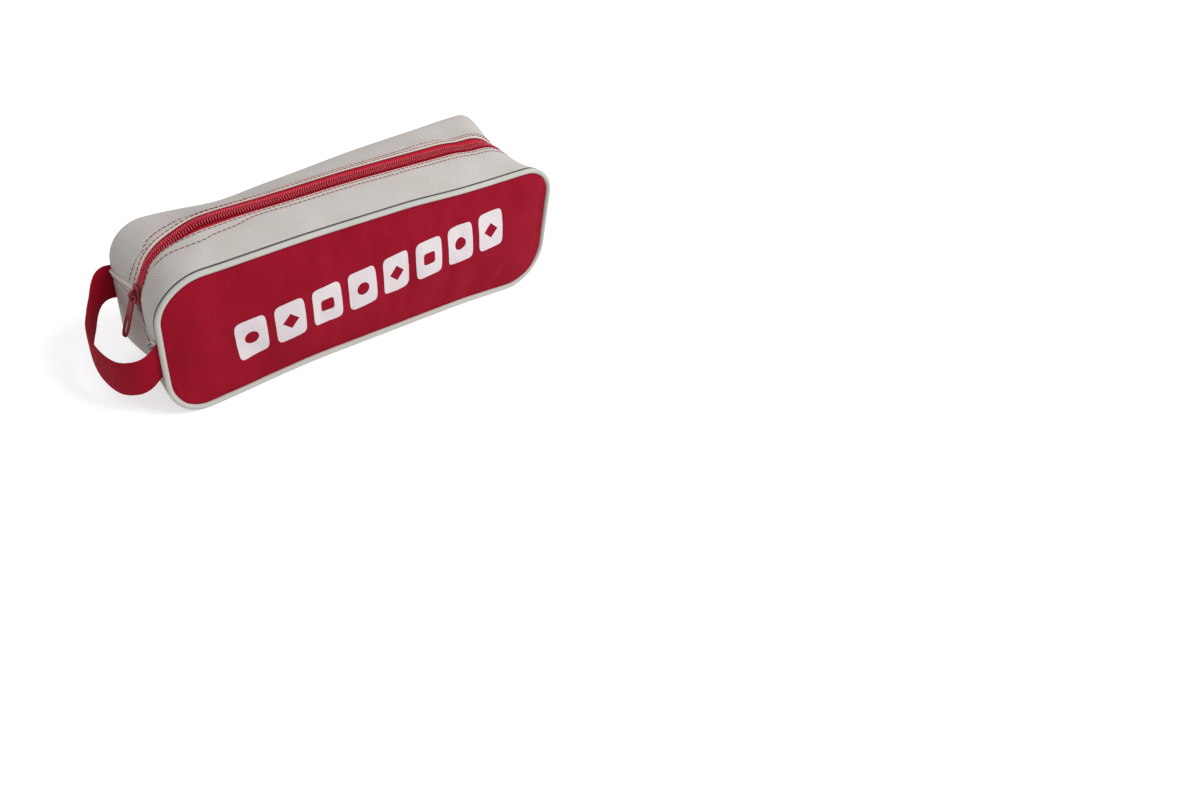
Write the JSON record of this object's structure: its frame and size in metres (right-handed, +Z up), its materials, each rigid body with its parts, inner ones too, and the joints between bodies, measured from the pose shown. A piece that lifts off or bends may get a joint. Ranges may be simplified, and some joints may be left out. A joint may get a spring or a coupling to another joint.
{
  "type": "zipped soft case for rummy tiles",
  "caption": "Soft zipped cloth case for rummy tiles: piped rounded panels, a wrap-round gusset, a coil zip over the top and ends, and a webbing loop handle at one end.",
  "frame": {"origin": "on the flat face of the base gusset that the case rests on, under the middle of the zip", "axes": "+X along the case, away from the handle end; -Y out of the front panel; +Z up, towards the zip"},
  "size_m": [0.312, 0.0869, 0.101],
  "materials": {
    "panel_cloth": "matte diagonal-weave polyester",
    "gusset_cloth": "matte coated polyester",
    "piping_cloth": "matte cover",
    "piping_core": "matte",
    "binding_cloth": "matte woven tape",
    "zip_cloth": "matte woven tape",
    "zip_nylon": "satin",
    "slider_metal": "gloss paint",
    "webbing_cloth": "ribbed webbing"
  },
  "bodies": {
    "case_body": {"front_panel": "panel_cloth", "rear_panel": "panel_cloth", "front_piping_cover": "piping_cloth", "rear_piping_cover": "piping_cloth", "front_piping_cord": "piping_core", "rear_piping_cord": "piping_core", "front_seam_binding": "binding_cloth", "rear_seam_binding": "binding_cloth", "left_end_binding": "binding_cloth", "right_end_binding": "binding_cloth", "front_strip_left_corner": "gusset_cloth", "front_strip_right_corner": "gusset_cloth", "rear_strip_left_corner": "gusset_cloth", "rear_strip_right_corner": "gusset_cloth", "base_gusset": "gusset_cloth", "front_zip_tape_left_corner": "zip_cloth", "front_zip_tape_right_corner": "zip_cloth", "rear_zip_tape_left_corner": "zip_cloth", "rear_zip_tape_right_corner": "zip_cloth", "front_zip_coil_left_corner": "zip_nylon", "front_zip_coil_right_corner": "zip_nylon", "rear_zip_coil_left_corner": "zip_nylon", "rear_zip_coil_right_corner": "zip_nylon"},
    "front_lip": {"front_mouth_strip": "gusset_cloth", "front_mouth_zip_tape": "zip_cloth", "front_mouth_zip_coil": "zip_nylon"},
    "rear_lip": {"rear_mouth_strip": "gusset_cloth", "rear_mouth_zip_tape": "zip_cloth", "rear_mouth_zip_coil": "zip_nylon"},
    "slider": {"zip_slider": "slider_metal"},
    "puller": {"zip_puller": "slider_metal"},
    "handle": {"handle_webbing": "webbing_cloth"}
  },
  "joints": [
    {"name": "slider_travel", "type": "hinge", "parent": "case_body", "child": "slider", "pos_m": [-0.096, 0, 0.0566], "axis": [0, 1, 0], "range_deg": [0, 72], "deforming": ["front_zip_tape_left_corner", "front_zip_coil_left_corner", "rear_zip_tape_left_corner", "rear_zip_coil_left_corner"]},
    {"name": "puller_swing", "type": "hinge", "parent": "slider", "child": "puller", "pos_m": [-0.14069, 0, 0.06304], "axis": [0, 1, 0], "range_deg": [-12, 148]},
    {"name": "front_lip_open", "type": "hinge", "parent": "case_body", "child": "front_lip", "pos_m": [0, -0.0366, 0.0945], "axis": [0.9999, 0, -0.0105], "range_deg": [0, 85]},
    {"name": "rear_lip_open", "type": "hinge", "parent": "case_body", "child": "rear_lip", "pos_m": [0, 0.0381, 0.09725], "axis": [-0.9987, -0.0384, -0.0332], "range_deg": [0, 85]},
    {"name": "handle_swing", "type": "hinge", "parent": "case_body", "child": "handle", "pos_m": [-0.1434, -0.002, 0.0585], "axis": [0, 0.9828, 0.1846], "range_deg": [0, 70]}
  ]
}
